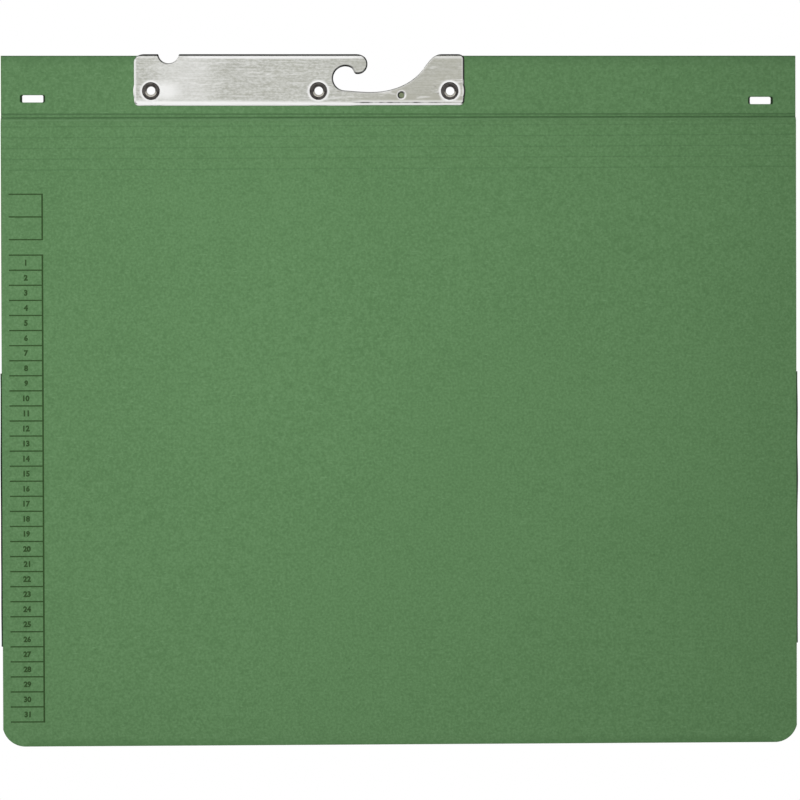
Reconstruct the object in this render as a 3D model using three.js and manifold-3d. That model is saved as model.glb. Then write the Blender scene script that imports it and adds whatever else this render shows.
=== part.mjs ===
// Hanging file folder for A4 paper, of the kind that swings on one round bar.
//
// One sheet of manila board is folded along its top edge. The doubled strip below that fold is
// gripped by a folded aluminium hanger rail and three hollow rivets. Below the strip each cover
// turns on a crease and comes out over a shoulder. Inside, the back cover carries a two-tongue
// paper fastener and a pocket whose sides are closed by cloth gussets.
//
// Millimetres. +X points right and +Z up, and the front cover faces -Y. The origin is the axis of
// the bar in the hook's round seat, midway through the folder's thickness.

import * as THREE from "three";
import { mergeVertices } from "three/addons/utils/BufferGeometryUtils.js";
import Module from "manifold-3d";

const wasm = await Module();
wasm.setup();

// Board sheet
const folderWidth = 318.4;
const folderHeight = 276; // from the fold at the top to the bottom edge
const boardThickness = 0.45;
const foldGap = 0.2; // between the two plies of the folded strip
const stripHeight = 24.5; // from the fold to the crease on which a cover turns
const creaseSpacing = 1.2; // a second crease runs above that one
const creaseGap = 0.3; // between the strip and a cover, where the board bends
const coverBulge = 1.2; // how far a cover stands out from the strip
const shoulderHeight = 2.4; // height over which it comes out, below the crease
const coverCornerRadius = 9.2;
const coverCornerInset = 8.9; // centre of the corner to the folder's side

// Score lines across each cover, where it can be creased as the file grows thicker
const scoreCount = 5;
const scoreBelowCrease = 3.4;
const scorePitch = 4.3;
const scoreWidth = 0.5; // of a score's or a crease's groove
const scoreDepth = 0.12;

// Slots for index tabs, punched through both plies of the strip
const slotLength = 10; // in the front ply
const slotStep = 0.8; // the slot in the back ply ends this much sooner, at both ends
const slotHeight = 3;
const slotCornerRadius = 0.6;
const slotFromLeft = 12.6; // slot centre to the folder's side
const slotFromRight = 14.1;
const slotBelowFold = 17.1; // of the left slot
const slotDrop = 0.8; // the right slot is this much lower

// Hanger rail: aluminium sheet folded over the top of the strip
const railSheet = 0.5;
const railHeadroom = 0.1; // air between the strip's fold and the rail's bend
const railLength = 131.9;
const railHeight = 20.4;
const railCornerRadius = 1.9;
const railLeadRadius = 3.4; // the upper left corner, which goes into the cabinet first
const railLeftOfSeat = 84.4; // left end of the rail to the seat's axis
const rivetSwell = 0.35; // how far riveting has pushed out the rail's ends
const rivetSwellHeight = 5;
const railCutMargin = 1; // sheet that is cut off again beyond the rail's ends

// Hook, cut through both walls of the rail
const seatFromFolderLeft = 137.5;
const seatBelowFold = 9;
const seatRadius = 4.9;
const seatLipAngle = 60; // degrees, where the seat's circle ends and the nose begins
const seatFootAngle = -95; // degrees, where the seat's circle runs out into the throat
const fingerLength = 5; // seat axis to the centre of the finger's round tip
const fingerRadius = 3.9;
const noseAngle = -100; // degrees, where the finger's round tip ends at the nose
const noseHold = 0.9; // how far the nose goes on in the direction of the arcs beside it
const throatDepth = 5.55; // lowest point of the throat under the seat axis
const throatLength = 10.2; // seat axis to that lowest point
const rampLength = 21.4; // from the throat's lowest point to the middle of the ramp
const rampHeight = 9.7;
const rampSlope = 56; // degrees, at the middle of the ramp
const rampTopLength = 6.4; // from the middle of the ramp to the rail's top edge
const boardSetback = 0.4; // how far the board stays behind the edges of the metal

// How far the hook's curves keep the directions of their ends
const throatHold = 3.4; // out of the seat, and into the throat's lowest point
const rampFootHold = 12.8; // out of the throat's lowest point
const rampHold = 3.9; // into the middle of the ramp
const rampBendHold = 1.9; // out of the middle of the ramp
const rampTopHold = 2.6; // into the rail's top edge

// Stop notch, which levels the hanging folder against a second bar
const notchRadius = 4.15;
const notchLeftOfSeat = 70.6;
const notchRise = 0.5; // centre of the notch above the rail's top edge

// Pilot hole, by which the rail is held while it is riveted
const pilotRadius = 1.1;
const pilotRightOfSeat = 22.5;
const pilotAboveRailEdge = 4;

// Hollow rivets
const rivetAboveRailEdge = 5.7;
const rivetFromLeftEnd = 6.7;
const rivetFromRightEnd = 5.7;
const rivetMiddleLeftOfSeat = 10.8;
const rivetBoreRadius = 1.9;
const rivetWall = 0.35;
const rivetClearance = 0.15;
const rivetFlangeRadius = 3.9;
const rivetFlangeHeight = 0.5;
const rivetBellRadius = 0.7; // of the bore's round mouths
const rivetClinchRadius = 3.3; // the end that is rolled over behind
const rivetClinchHeight = 0.4;

// Pocket on the inside of the back cover
const pocketHeight = 111.4;
const pocketBelowFold = 238.2; // the bottom fold of the pocket, where an A4 sheet stands
const pocketInset = 0.5; // the panel's sides, inside the folder's
const pocketFlapHeight = 12;
const pocketFlapSetback = 2; // between the flap's ends and the gussets
const clothThickness = 0.25;
const clothGap = 0.1; // between the leaves of a folded gusset
const gussetDepth = 12;
const gussetProud = 1; // how far the cloth stands out past the covers
const gussetClearance = 0.3;

// Paper fastener on the inside of the back cover
const fastenerSpacing = 80; // the two holes of a filed sheet
const fastenerBelowCrease = 15.5;
const carrierLength = 150;
const carrierWidth = 24;
const carrierThickness = 0.35;
const carrierCornerRadius = 3;
const tongueThickness = 0.3;
const tongueWidth = 5;
const tongueReach = 37; // from a hole to the tip of its folded tongue
const tongueSlitLength = 3;
const tongueSlitClearance = 0.5;
const barLength = 104;
const barWidth = 11;
const barSheet = 0.3;
const barHeight = 1.1;
const barLip = 0.8; // width of the edge that is turned in over the tongues

// Fineness of the round stretches
const roundSteps = 16;
const smallSteps = 4;
const foldSteps = 8;
const rivetSteps = 28;

// Levels and places that follow from the sizes
const left = -seatFromFolderLeft;
const right = left + folderWidth;
const middle = (left + right) / 2;
const fold = seatBelowFold;
const bottom = fold - folderHeight;
const crease = fold - stripHeight;
const stripFace = foldGap / 2 + boardThickness;
const stripInside = foldGap / 2;
const coverFace = stripFace + coverBulge;
const coverInside = coverFace - boardThickness;
const railLeft = -railLeftOfSeat;
const railRight = railLeft + railLength;
const railFace = stripFace + railSheet;
const railTop = fold + railHeadroom + railSheet;
const railEdge = railTop - railHeight;
const rivetLevel = railEdge + rivetAboveRailEdge;
const rivetHoleRadius = rivetBoreRadius + rivetWall + rivetClearance;
const throughAll = 4 * coverFace; // long enough to cut the whole folder from front to back

// Solids and shapes

const axisX = new THREE.Vector3(1, 0, 0);
const axisY = new THREE.Vector3(0, 1, 0);
const axisZ = new THREE.Vector3(0, 0, 1);
const crossSection = new THREE.Matrix4().makeBasis(axisY, axisZ, axisX); // drawn in YZ, run along X
const frontView = new THREE.Matrix4().makeBasis(axisX, axisZ, axisY.clone().negate()); // drawn in XZ
const topView = new THREE.Matrix4(); // drawn in XY, run along Z

const radians = THREE.MathUtils.degToRad;
const point = (x, y) => new THREE.Vector2(x, y);
const direction = (degrees) => point(Math.cos(radians(degrees)), Math.sin(radians(degrees)));

// A closed geometry as a solid that can be joined and cut.
function solidOf(geometry) {
  const bare = geometry.index ? geometry.toNonIndexed() : geometry.clone();
  bare.deleteAttribute("normal");
  bare.deleteAttribute("uv");
  const merged = mergeVertices(bare);
  const mesh = new wasm.Mesh({
    numProp: 3,
    vertProperties: merged.attributes.position.array,
    triVerts: new Uint32Array(merged.index.array),
  });
  return new wasm.Manifold(mesh);
}

// A solid as a geometry with flat facets.
function geometryOf(solid) {
  const { vertProperties, triVerts } = solid.getMesh();
  const geometry = new THREE.BufferGeometry();
  geometry.setAttribute("position", new THREE.BufferAttribute(vertProperties, 3));
  geometry.setIndex(new THREE.BufferAttribute(triVerts, 1));
  const faceted = geometry.toNonIndexed();
  faceted.computeVertexNormals();
  return faceted;
}

// A shape drawn in one view and run from one level to another, square to that view.
function run(shape, view, from, to, steps = roundSteps) {
  const settings = { depth: to - from, bevelEnabled: false, curveSegments: steps };
  const geometry = new THREE.ExtrudeGeometry(shape, settings);
  return solidOf(geometry.translate(0, 0, from).applyMatrix4(view));
}

// A shape drawn in the front view, cut through the folder from front to back.
function cutThrough(shape, steps) {
  return run(shape, frontView, -throughAll / 2, throughAll / 2, steps);
}

function arc(centreX, centreY, radius, fromDegrees, toDegrees, steps) {
  return Array.from({ length: steps + 1 }, (_, step) => {
    const angle = radians(fromDegrees + ((toDegrees - fromDegrees) * step) / steps);
    return point(centreX + radius * Math.cos(angle), centreY + radius * Math.sin(angle));
  });
}

// Points moved square to the line they make, with mitred bends.
function offset(points, distance, closed = false) {
  const count = points.length;
  return points.map((here, i) => {
    const before = closed ? points[(i + count - 1) % count] : points[i - 1];
    const after = closed ? points[(i + 1) % count] : points[i + 1];
    const into = before ? here.clone().sub(before).normalize() : null;
    const out = after ? after.clone().sub(here).normalize() : into;
    const coming = into ?? out;
    const side = point(-coming.y - out.y, coming.x + out.x).normalize();
    const mitre = side.dot(point(-coming.y, coming.x));
    return here.clone().addScaledVector(side, distance / mitre);
  });
}

// The section of a thin sheet whose middle follows a line of points.
function sheetSection(middleLine, thickness) {
  const oneSide = offset(middleLine, thickness / 2);
  const otherSide = offset(middleLine, -thickness / 2);
  return new THREE.Shape([...oneSide, ...otherSide.reverse()]);
}

// A shape grown all round by a margin.
function grown(shape, margin) {
  const points = shape.getPoints(roundSteps);
  const samePoint = 1e-6;
  if (points.at(-1).distanceTo(points[0]) < samePoint) points.pop();
  const outward = THREE.ShapeUtils.area(points) > 0 ? -margin : margin;
  return new THREE.Shape(offset(points, outward, true));
}

function circle(x, y, radius) {
  return new THREE.Shape(arc(x, y, radius, 0, 360, rivetSteps).slice(0, -1));
}

function roundedRectangle(x0, y0, x1, y1, radius) {
  const shape = new THREE.Shape();
  shape.absarc(x1 - radius, y1 - radius, radius, 0, Math.PI / 2, false);
  shape.absarc(x0 + radius, y1 - radius, radius, Math.PI / 2, Math.PI, false);
  shape.absarc(x0 + radius, y0 + radius, radius, Math.PI, 1.5 * Math.PI, false);
  shape.absarc(x1 - radius, y0 + radius, radius, 1.5 * Math.PI, 2 * Math.PI, false);
  return shape;
}

// Materials

const greenBoard = new THREE.MeshStandardMaterial({ color: 0x5f8c58, roughness: 0.92 });
const greyBoard = new THREE.MeshStandardMaterial({ color: 0xb9b3a2, roughness: 0.95 });
const darkCloth = new THREE.MeshStandardMaterial({ color: 0x1d3324, roughness: 0.95 });
const aluminium = new THREE.MeshStandardMaterial({ color: 0xd4d5d0, roughness: 0.35, metalness: 1 });
const steel = new THREE.MeshStandardMaterial({ color: 0x8f8a82, roughness: 0.3, metalness: 1 });

function piece(name, solid, material) {
  const mesh = new THREE.Mesh(geometryOf(solid), material);
  mesh.name = name;
  return mesh;
}

// Hook and notch, as the air that is punched out of the rail

function hookOpening() {
  const above = railTop + throughAll;
  const tip = point(fingerLength, railTop - fingerRadius);
  const noseTurn = direction(noseAngle);
  const nose = tip.clone().addScaledVector(noseTurn, fingerRadius);
  const lipTurn = direction(seatLipAngle);
  const lip = lipTurn.clone().multiplyScalar(seatRadius);
  const footTurn = direction(seatFootAngle);
  const foot = footTurn.clone().multiplyScalar(seatRadius);
  const throat = point(throatLength, -throatDepth);
  const ramp = point(throat.x + rampLength, throat.y + rampHeight);
  const rampTop = point(ramp.x + rampTopLength, railTop);
  const slope = direction(rampSlope);

  const shape = new THREE.Shape();
  shape.moveTo(tip.x, above);
  shape.lineTo(tip.x, railTop);
  shape.absarc(tip.x, tip.y, fingerRadius, Math.PI / 2, radians(noseAngle), true);
  shape.bezierCurveTo(
    nose.x + noseHold * noseTurn.y,
    nose.y - noseHold * noseTurn.x,
    lip.x + noseHold * lipTurn.y,
    lip.y - noseHold * lipTurn.x,
    lip.x,
    lip.y,
  );
  shape.absarc(0, 0, seatRadius, radians(seatLipAngle), radians(seatFootAngle + 360), false);
  shape.bezierCurveTo(
    foot.x - throatHold * footTurn.y,
    foot.y + throatHold * footTurn.x,
    throat.x - throatHold,
    throat.y,
    throat.x,
    throat.y,
  );
  shape.bezierCurveTo(
    throat.x + rampFootHold,
    throat.y,
    ramp.x - rampHold * slope.x,
    ramp.y - rampHold * slope.y,
    ramp.x,
    ramp.y,
  );
  shape.bezierCurveTo(
    ramp.x + rampBendHold * slope.x,
    ramp.y + rampBendHold * slope.y,
    rampTop.x - rampTopHold,
    railTop,
    rampTop.x,
    railTop,
  );
  shape.lineTo(rampTop.x, above);
  shape.closePath();
  return shape;
}

function stopNotch(radius) {
  return circle(-notchLeftOfSeat, railTop + notchRise, radius);
}

// Hanger rail

// The rail's silhouette, with its ends swollen beside the outer rivets.
function railOutline() {
  const corner = railCornerRadius;
  const lead = railLeadRadius;
  const swellTop = rivetLevel + rivetSwellHeight / 2;
  const swellFoot = rivetLevel - rivetSwellHeight / 2;
  const swollen = 2 * rivetSwell; // a curve comes half as far as the point that it bends towards
  const shape = new THREE.Shape();
  shape.moveTo(railLeft + corner, railEdge);
  shape.lineTo(railRight - corner, railEdge);
  shape.absarc(railRight - corner, railEdge + corner, corner, -Math.PI / 2, 0, false);
  shape.lineTo(railRight, swellFoot);
  shape.quadraticCurveTo(railRight + swollen, rivetLevel, railRight, swellTop);
  shape.absarc(railRight - corner, railTop - corner, corner, 0, Math.PI / 2, false);
  shape.absarc(railLeft + lead, railTop - lead, lead, Math.PI / 2, Math.PI, false);
  shape.lineTo(railLeft, swellTop);
  shape.quadraticCurveTo(railLeft - swollen, rivetLevel, railLeft, swellFoot);
  shape.absarc(railLeft + corner, railEdge + corner, corner, Math.PI, 1.5 * Math.PI, false);
  return shape;
}

const rivetPlaces = {
  rivet_left: railLeft + rivetFromLeftEnd,
  rivet_middle: -rivetMiddleLeftOfSeat,
  rivet_right: railRight - rivetFromRightEnd,
};

function rivetHoles() {
  return Object.values(rivetPlaces).map((x) => cutThrough(circle(x, rivetLevel, rivetHoleRadius)));
}

function hangerRail() {
  const wall = stripFace + railSheet / 2;
  const bendLevel = fold + railHeadroom - stripFace;
  const section = [
    point(-wall, railEdge),
    ...arc(0, bendLevel, wall, 180, 0, foldSteps),
    point(wall, railEdge),
  ];
  const from = railLeft - rivetSwell - railCutMargin;
  const to = railRight + rivetSwell + railCutMargin;
  let rail = run(sheetSection(section, railSheet), crossSection, from, to);
  rail = rail.intersect(cutThrough(railOutline()));
  const pilot = circle(pilotRightOfSeat, railEdge + pilotAboveRailEdge, pilotRadius);
  const cuts = [cutThrough(hookOpening()), cutThrough(stopNotch(notchRadius)), cutThrough(pilot)];
  for (const cut of [...cuts, ...rivetHoles()]) rail = rail.subtract(cut);
  return piece("hanger_rail", rail, aluminium);
}

// Hollow rivets

// Half the section of a hollow rivet: distance from its axis, and height above the folder's middle.
// It runs down the bore's side last, so that the turned faces point outwards.
function rivetSection() {
  const tube = rivetBoreRadius + rivetWall;
  const mouth = rivetBoreRadius + rivetBellRadius;
  const head = railFace + rivetFlangeHeight;
  const clinch = -railFace - rivetClinchHeight;
  const headRoll = rivetFlangeHeight / 2;
  const clinchRoll = rivetClinchHeight / 2;
  const section = [
    ...arc(mouth, head - rivetBellRadius, rivetBellRadius, 180, 90, smallSteps),
    ...arc(rivetFlangeRadius - headRoll, head - headRoll, headRoll, 90, -90, smallSteps),
    point(tube, railFace),
    point(tube, -railFace),
    ...arc(rivetClinchRadius - clinchRoll, clinch + clinchRoll, clinchRoll, 90, -90, smallSteps),
    ...arc(mouth, clinch + rivetBellRadius, rivetBellRadius, 270, 180, smallSteps),
  ];
  return [...section, section[0]].reverse();
}

function rivets() {
  return Object.entries(rivetPlaces).map(([name, x]) => {
    const turned = new THREE.LatheGeometry(rivetSection(), rivetSteps);
    turned.rotateX(Math.PI); // the head, which was up along +Y, faces the front
    turned.translate(x, 0, rivetLevel);
    return piece(name, solidOf(turned), steel);
  });
}

// Folded strip

// A V-shaped groove in a sheet's outer face, from its upper edge to its lower one.
function groove(face, level, outward) {
  return [
    point(face, level + scoreWidth / 2),
    point(face - outward * scoreDepth, level),
    point(face, level - scoreWidth / 2),
  ];
}

function tabSlots() {
  const leftLevel = fold - slotBelowFold;
  const centres = [
    [left + slotFromLeft, leftLevel],
    [right - slotFromRight, leftLevel - slotDrop],
  ];
  const slot = (x, level, length) =>
    roundedRectangle(
      x - length / 2,
      level - slotHeight / 2,
      x + length / 2,
      level + slotHeight / 2,
      slotCornerRadius,
    );
  return centres.flatMap(([x, level]) => [
    run(slot(x, level, slotLength), frontView, 0, throughAll, smallSteps),
    run(slot(x, level, slotLength - 2 * slotStep), frontView, -throughAll, 0, smallSteps),
  ]);
}

function foldedStrip() {
  const foot = crease + creaseGap / 2;
  const bendLevel = fold - stripFace;
  const frontCrease = groove(-stripFace, crease + creaseSpacing, -1).reverse();
  const backCrease = groove(stripFace, crease + creaseSpacing, 1);
  const section = new THREE.Shape([
    point(-stripInside, foot),
    point(-stripFace, foot),
    ...frontCrease,
    ...arc(0, bendLevel, stripFace, 180, 0, foldSteps),
    ...backCrease,
    point(stripFace, foot),
    point(stripInside, foot),
    ...arc(0, bendLevel, stripInside, 0, 180, foldSteps),
  ]);
  let strip = run(section, crossSection, left, right);
  const cuts = [
    cutThrough(grown(hookOpening(), boardSetback)),
    cutThrough(stopNotch(notchRadius + boardSetback)),
    ...tabSlots(),
    ...rivetHoles(),
  ];
  for (const cut of cuts) strip = strip.subtract(cut);
  return piece("folded_strip", strip, greenBoard);
}

// Covers

// The section of a cover on the outward side: it leaves the crease in the strip's own plane, comes
// out over a shoulder, and has a groove at each score line.
function coverSection(outward) {
  const top = crease - creaseGap / 2;
  const shoulder = crease - shoulderHeight;
  const scores = Array.from({ length: scoreCount }, (_, i) => crease - scoreBelowCrease - i * scorePitch);
  return new THREE.Shape([
    point(outward * stripInside, top),
    point(outward * stripFace, top),
    point(outward * coverFace, shoulder),
    ...scores.flatMap((level) => groove(outward * coverFace, level, outward)),
    point(outward * coverFace, bottom),
    point(outward * coverInside, bottom),
    point(outward * coverInside, shoulder),
  ]);
}

// Each lower corner is punched round: its arc runs into the bottom edge and meets the side in a
// blunt angle.
function coverOutline() {
  const corner = coverCornerRadius;
  const inset = coverCornerInset;
  const meeting = Math.acos(Math.min(1, inset / corner));
  const side = bottom + corner - corner * Math.sin(meeting);
  const shape = new THREE.Shape();
  shape.moveTo(left, fold);
  shape.lineTo(left, side);
  shape.absarc(left + inset, bottom + corner, corner, Math.PI + meeting, 1.5 * Math.PI, false);
  shape.absarc(right - inset, bottom + corner, corner, 1.5 * Math.PI, 2 * Math.PI - meeting, false);
  shape.lineTo(right, side);
  shape.lineTo(right, fold);
  return shape;
}

function cover(name, outward) {
  const sheet = run(coverSection(outward), crossSection, left, right);
  return piece(name, sheet.intersect(cutThrough(coverOutline())), greenBoard);
}

// Pocket

const gussetPitch = clothThickness + clothGap;
const gussetLayers = 4; // a glued leaf, two folded leaves and another glued leaf
const pocketBack = coverInside;
const pocketFront = pocketBack - clothThickness - (gussetLayers - 1) * gussetPitch; // back of the panel
const pocketBottom = fold - pocketBelowFold;
const pocketTop = pocketBottom + pocketHeight;
const pocketBend = (pocketBack - pocketFront) / 2 + boardThickness / 2;

// The panel runs down the front, round the bottom fold, and a glue flap runs up the back.
function pocketPanel() {
  const panelLine = pocketFront - boardThickness / 2;
  const flapLine = pocketBack - boardThickness / 2;
  const bendRadius = (flapLine - panelLine) / 2;
  const bendLevel = pocketBottom + bendRadius + boardThickness / 2;
  const section = [
    point(panelLine, pocketTop),
    ...arc((panelLine + flapLine) / 2, bendLevel, bendRadius, 180, 360, foldSteps),
    point(flapLine, bendLevel + pocketFlapHeight),
  ];
  const from = left + pocketInset;
  const to = right - pocketInset;
  const whole = run(sheetSection(section, boardThickness), crossSection, from, to);
  const behindGusset = new THREE.Shape([
    point(flapLine - boardThickness, bendLevel),
    point(coverFace, bendLevel),
    point(coverFace, pocketTop),
    point(flapLine - boardThickness, pocketTop),
  ]);
  const flapSide = gussetDepth + pocketFlapSetback;
  const trims = [left, right - flapSide].map((x) => run(behindGusset, crossSection, x, x + flapSide));
  return piece("pocket_panel", trims.reduce((sheet, trim) => sheet.subtract(trim), whole), greenBoard);
}

// Cloth folded in four leaves: two outer folds stand out at the side, one inner fold points inwards.
function gusset(name, side) {
  const turn = gussetPitch / 2;
  const edge = side > 0 ? right : left;
  const outer = edge + side * (gussetProud - turn - clothThickness / 2);
  const inner = edge - side * gussetDepth;
  const layer = (n) => pocketBack - clothThickness / 2 - n * gussetPitch;
  const outerFold = (n) =>
    arc(0, 0, turn, 90, -90, foldSteps).map((p) => point(outer + side * p.x, layer(n) - turn + p.y));
  const innerFold = (n) =>
    arc(0, 0, turn, 90, -90, foldSteps).map((p) => point(inner - side * p.x, layer(n) - turn + p.y));
  const line = [
    point(inner, layer(0)),
    ...outerFold(0),
    ...innerFold(1),
    ...outerFold(2),
    point(inner, layer(3)),
  ];
  const from = pocketBottom + 2 * pocketBend + gussetClearance;
  return piece(name, run(sheetSection(line, clothThickness), topView, from, pocketTop), darkCloth);
}

// Paper fastener

const fastenerLevel = crease - fastenerBelowCrease;
const tongueBack = coverInside; // the strip lies on the back cover
const carrierBack = tongueBack - tongueThickness;
const barBack = carrierBack - carrierThickness;
const tongueFront = barBack - barSheet; // the folded tongues lie on the bar
const tongueHoles = [middle - fastenerSpacing / 2, middle + fastenerSpacing / 2];

function tongueSlits() {
  const halfHeight = tongueWidth / 2 + tongueSlitClearance;
  return tongueHoles.map((x) =>
    cutThrough(
      roundedRectangle(
        x - tongueSlitLength / 2,
        fastenerLevel - halfHeight,
        x + tongueSlitLength / 2,
        fastenerLevel + halfHeight,
        tongueSlitClearance,
      ),
      smallSteps,
    ),
  );
}

function fastenerCarrier() {
  const outline = roundedRectangle(
    middle - carrierLength / 2,
    fastenerLevel - carrierWidth / 2,
    middle + carrierLength / 2,
    fastenerLevel + carrierWidth / 2,
    carrierCornerRadius,
  );
  let board = run(outline, frontView, -carrierBack, -carrierBack + carrierThickness);
  for (const slit of tongueSlits()) board = board.subtract(slit);
  return piece("fastener_carrier", board, greyBoard);
}

// What is cut off a folded tongue's square end to make it round.
function tipTrim(tip, inward) {
  const radius = tongueWidth / 2;
  const centre = tip - inward * radius;
  const beyond = tip + inward * radius;
  const margin = tongueThickness / 2;
  const corners = [
    point(centre, fastenerLevel - tongueWidth),
    point(beyond, fastenerLevel - tongueWidth),
    point(beyond, fastenerLevel + tongueWidth),
    point(centre, fastenerLevel + tongueWidth),
  ];
  const back = -tongueFront - margin;
  const front = -tongueFront + tongueThickness + margin;
  const block = run(new THREE.Shape(corners), frontView, back, front);
  return block.subtract(cutThrough(circle(centre, fastenerLevel, radius)));
}

// One steel strip under the carrier, whose two ends come up through the slits and fold inwards.
function fastenerTongues() {
  const baseLine = tongueBack - tongueThickness / 2;
  const foldedLine = tongueFront - tongueThickness / 2;
  const bend = (baseLine - foldedLine) / 2;
  const bendLine = (baseLine + foldedLine) / 2;
  const [leftHole, rightHole] = tongueHoles;
  const line = [
    point(leftHole + tongueReach, foldedLine),
    ...arc(leftHole, bendLine, bend, 270, 90, foldSteps),
    ...arc(rightHole, bendLine, bend, 90, -90, foldSteps),
    point(rightHole - tongueReach, foldedLine),
  ];
  const lower = fastenerLevel - tongueWidth / 2;
  let strip = run(sheetSection(line, tongueThickness), topView, lower, lower + tongueWidth);
  strip = strip.subtract(tipTrim(leftHole + tongueReach, 1)).subtract(tipTrim(rightHole - tongueReach, -1));
  return piece("fastener_tongues", strip, steel);
}

// A steel channel over the carrier, with its long edges turned in over the tongues.
function fastenerBar() {
  const web = barBack - barSheet / 2;
  const lip = barBack - barHeight + barSheet / 2;
  const half = (barWidth - barSheet) / 2;
  const inside = half - barLip;
  const section = [
    point(lip, fastenerLevel + inside),
    point(lip, fastenerLevel + half),
    point(web, fastenerLevel + half),
    point(web, fastenerLevel - half),
    point(lip, fastenerLevel - half),
    point(lip, fastenerLevel - inside),
  ];
  const from = middle - barLength / 2;
  let bar = run(sheetSection(section, barSheet), crossSection, from, from + barLength);
  for (const slit of tongueSlits()) bar = bar.subtract(slit);
  return piece("fastener_bar", bar, steel);
}

// The folder

const frontCover = new THREE.Group();
frontCover.add(cover("front_cover", -1));

const backCover = new THREE.Group();
backCover.add(cover("back_cover", 1), pocketPanel(), gusset("gusset_left", -1), gusset("gusset_right", 1));
backCover.add(fastenerCarrier(), fastenerTongues(), fastenerBar());

const folder = new THREE.Group();
folder.add(foldedStrip(), hangerRail(), ...rivets(), frontCover, backCover);

export default folder;
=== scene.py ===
import math

import bmesh
import bpy
import numpy as np
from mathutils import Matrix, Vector, noise
from mathutils.geometry import delaunay_2d_cdt


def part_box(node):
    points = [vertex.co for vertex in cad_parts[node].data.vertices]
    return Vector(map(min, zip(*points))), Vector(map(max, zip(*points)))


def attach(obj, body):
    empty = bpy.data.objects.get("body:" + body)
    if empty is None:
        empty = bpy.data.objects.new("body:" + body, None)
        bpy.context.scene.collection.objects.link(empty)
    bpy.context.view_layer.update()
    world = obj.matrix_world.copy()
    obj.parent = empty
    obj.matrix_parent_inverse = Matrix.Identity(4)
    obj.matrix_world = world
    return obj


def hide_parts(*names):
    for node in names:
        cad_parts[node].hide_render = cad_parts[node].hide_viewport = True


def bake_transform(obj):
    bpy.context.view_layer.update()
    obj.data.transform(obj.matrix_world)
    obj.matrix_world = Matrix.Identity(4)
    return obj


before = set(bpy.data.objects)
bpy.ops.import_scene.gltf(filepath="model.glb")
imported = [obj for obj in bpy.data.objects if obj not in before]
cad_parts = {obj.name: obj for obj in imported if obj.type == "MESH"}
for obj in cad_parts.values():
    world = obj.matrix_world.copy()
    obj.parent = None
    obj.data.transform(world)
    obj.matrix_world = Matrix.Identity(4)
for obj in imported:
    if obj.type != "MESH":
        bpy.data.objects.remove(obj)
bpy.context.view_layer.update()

mm = 0.001

# View and light
# The folder is seen almost square from the front, from about a metre away. It hangs free above a
# pale floor, in soft light from the upper left, and the ground behind it is an even white.

scene = bpy.context.scene
scene.view_settings.view_transform = "Standard"


def linked(name, data):
    """A new object in the scene."""
    made = bpy.data.objects.new(name, data)
    scene.collection.objects.link(made)
    return made


camera = linked("camera", bpy.data.cameras.new("camera"))
camera.data.lens = 112
camera.data.sensor_width = 36
camera.location = (-0.000207, -0.998476, -0.119210)
camera.rotation_euler = [math.radians(turn) for turn in (89.4447, 0.1667, -1.2496)]
scene.camera = camera

folder_middle = Vector((0.0215, 0, -0.1288))
sky_light = 0.155
floor_level = -0.62
floor_reach = 30
floor_colour = (0.62, 0.62, 0.61, 1)
floor_shown_as_lit = 0.75  # within this distance of the folder's foot the floor keeps its shadow
floor_shown_white = 1.7
floor_paleness = 0.55  # the floor looks this share paler than its light makes it
lamps = [
    # name, place, width, watts, shows in metal
    ("window_left", (-0.25, -0.93, 0.45), 0.6, 0.65, False),
    ("soft_front", (-0.047, -0.40, -0.078), 0.5, 1.76, False),
    ("glint_left", (-0.85, -0.75, 0.75), 0.5, 1.5, True),
    ("back_left", (-0.9, 1.7, 0.7), 1.2, 30, False),
]
flag_height = 0.75  # a black card overhead, which only metal shows, draws its bent edges
flag_width = 1.6
flag_front = -0.85
flag_back = 6
flag_black = (0.02, 0.02, 0.02, 1)


def add_node(tree, kind, sockets, settings):
    """Adds a node. A socket is given a number, a colour, an output, or a node for its first output."""
    made = tree.nodes.new(kind)
    for name, value in settings.items():
        setattr(made, name, value)
    for name, value in (sockets or {}).items():
        if isinstance(value, bpy.types.Node):
            value = value.outputs[0]
        if isinstance(value, bpy.types.NodeSocket):
            tree.links.new(value, made.inputs[name])
        else:
            made.inputs[name].default_value = value
    return made


def shader(tree, kind, sockets=None, **settings):
    return add_node(tree, "ShaderNode" + kind, sockets, settings)


def calculate(tree, operation, *values):
    return shader(tree, "Math", dict(enumerate(values)), operation=operation).outputs[0]


def times(tree, first, second, plus=0):
    """The product of two values, plus a third one."""
    return calculate(tree, "MULTIPLY_ADD", first, second, plus)


def ranged(tree, value, low, high, to_low=0, to_high=1):
    """The share of the way from low to high, or what that share comes to between two others."""
    sockets = {"Value": value, "From Min": low, "From Max": high, "To Min": to_low, "To Max": to_high}
    return shader(tree, "MapRange", sockets).outputs[0]


def object_place(tree):
    return shader(tree, "TexCoord").outputs["Object"]


def seen_directly(tree):
    """1 for what the camera sees, itself, in metal or through an opening, and 0 for light."""
    path = shader(tree, "LightPath").outputs
    seen = calculate(tree, "MAXIMUM", path["Is Camera Ray"], path["Is Glossy Ray"])
    return calculate(tree, "MAXIMUM", seen, path["Is Transmission Ray"])


def material_tree(name):
    material = bpy.data.materials.new(name)
    material.use_nodes = True
    material.node_tree.nodes.clear()
    return material, material.node_tree


def placed(name, mesh, *materials):
    """An object at the origin; its place is in its mesh."""
    for material in materials:
        mesh.materials.append(material)
    return linked(name, mesh)


def level_card(name, x, y, height, material):
    """A flat card between two values of x and two of y."""
    mesh = bpy.data.meshes.new(name)
    corners = [(x[i], y[j], height) for i, j in ((0, 0), (1, 0), (1, 1), (0, 1))]
    mesh.from_pydata(corners, [], [(0, 1, 2, 3)])
    return placed(name, mesh, material)


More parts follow.
